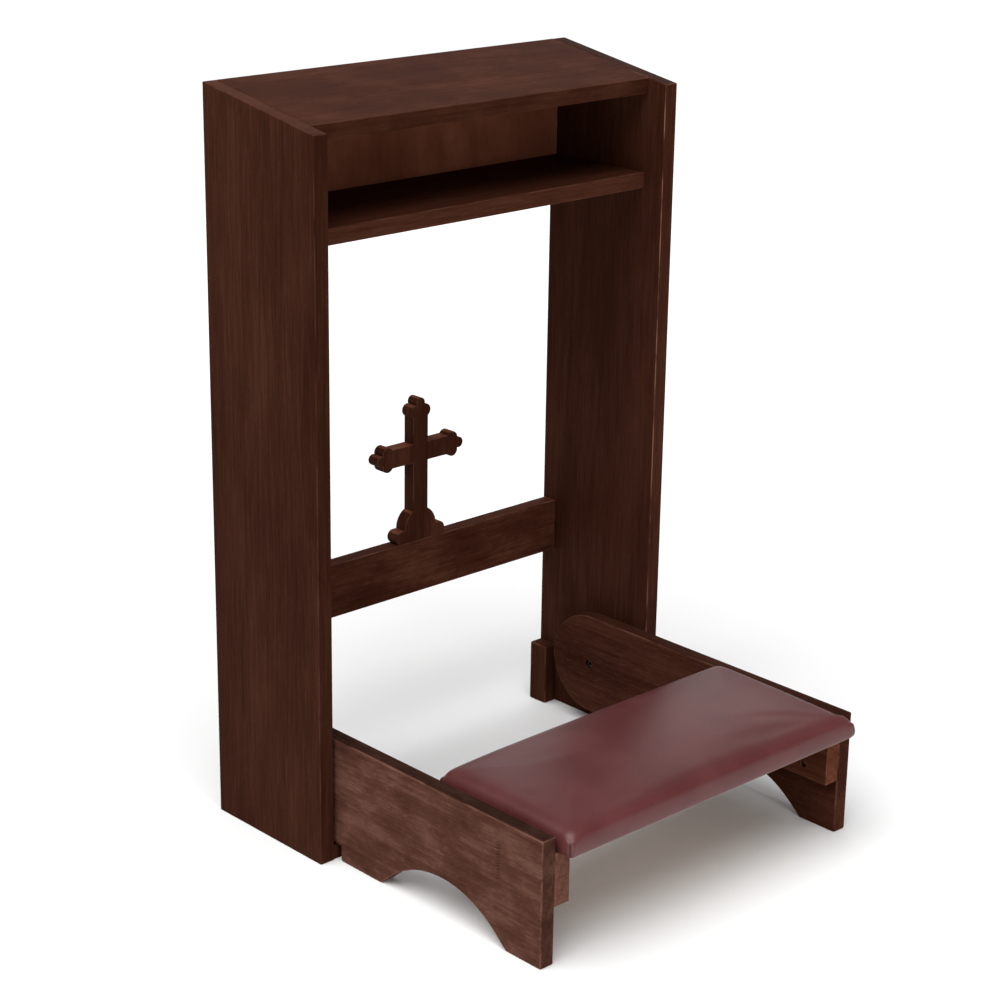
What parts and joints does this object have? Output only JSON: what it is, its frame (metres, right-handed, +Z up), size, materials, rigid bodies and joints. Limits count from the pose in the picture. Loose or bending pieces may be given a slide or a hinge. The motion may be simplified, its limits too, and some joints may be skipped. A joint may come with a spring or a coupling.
{
  "type": "folding prayer kneeler",
  "caption": "Folding wooden prayer kneeler: sloping book rest and shelf between two tall side panels, a cross on a low rail, and a padded kneeler that swings up on two bolts.",
  "frame": {"origin": "on the floor, under the middle of the whole object with the kneeler down", "axes": "+Z up, +X to the right as seen by a person facing the book rest, -Y out towards that person along the kneeler"},
  "size_m": [0.512, 0.511, 0.812],
  "materials": {
    "stained_wood": "dark mahogany stain under satin lacquer",
    "inner_wood": "the same stain on hidden and shaded pieces, thinner lacquer",
    "plain_wood": "unstained beech dowels and birch plywood",
    "zinc_steel": "bright zinc plate",
    "insert_brass": "plain turned brass",
    "nylon": "black nylon",
    "oxblood_vinyl": "smooth oxblood leatherette with a fine grain and a satin sheen",
    "pad_foam": "open-cell polyurethane foam"
  },
  "bodies": {
    "frame": {"side_panel_left": "stained_wood", "side_panel_right": "stained_wood", "book_rest": "stained_wood", "shelf": "stained_wood", "back_board": "inner_wood", "cross_rail": "stained_wood", "cross": "stained_wood", "toe_rail": "inner_wood", "rear_block_left": "stained_wood", "rear_block_right": "stained_wood", "panel_dowels": "plain_wood", "block_dowels": "plain_wood", "cross_dowels": "plain_wood", "back_nails": "zinc_steel", "shelf_pins": "zinc_steel", "pivot_insert_left": "insert_brass", "pivot_insert_right": "insert_brass", "pivot_bolt_left": "zinc_steel", "pivot_bolt_right": "zinc_steel", "pivot_washer_left": "nylon", "pivot_washer_right": "nylon"},
    "kneeler": {"kneeler_arm_left": "stained_wood", "kneeler_arm_right": "stained_wood", "cleat_left": "inner_wood", "cleat_right": "inner_wood", "cleat_screws": "zinc_steel", "pad_screws": "zinc_steel", "pad_board": "plain_wood", "pad_foam": "pad_foam", "pad_cover": "oxblood_vinyl", "pad_staples": "zinc_steel"}
  },
  "joints": [
    {"name": "kneeler_fold", "type": "hinge", "parent": "frame", "child": "kneeler", "pos_m": [0, 0.1485, 0.079], "axis": [-1, 0, 0], "range_deg": [0, 91]}
  ]
}
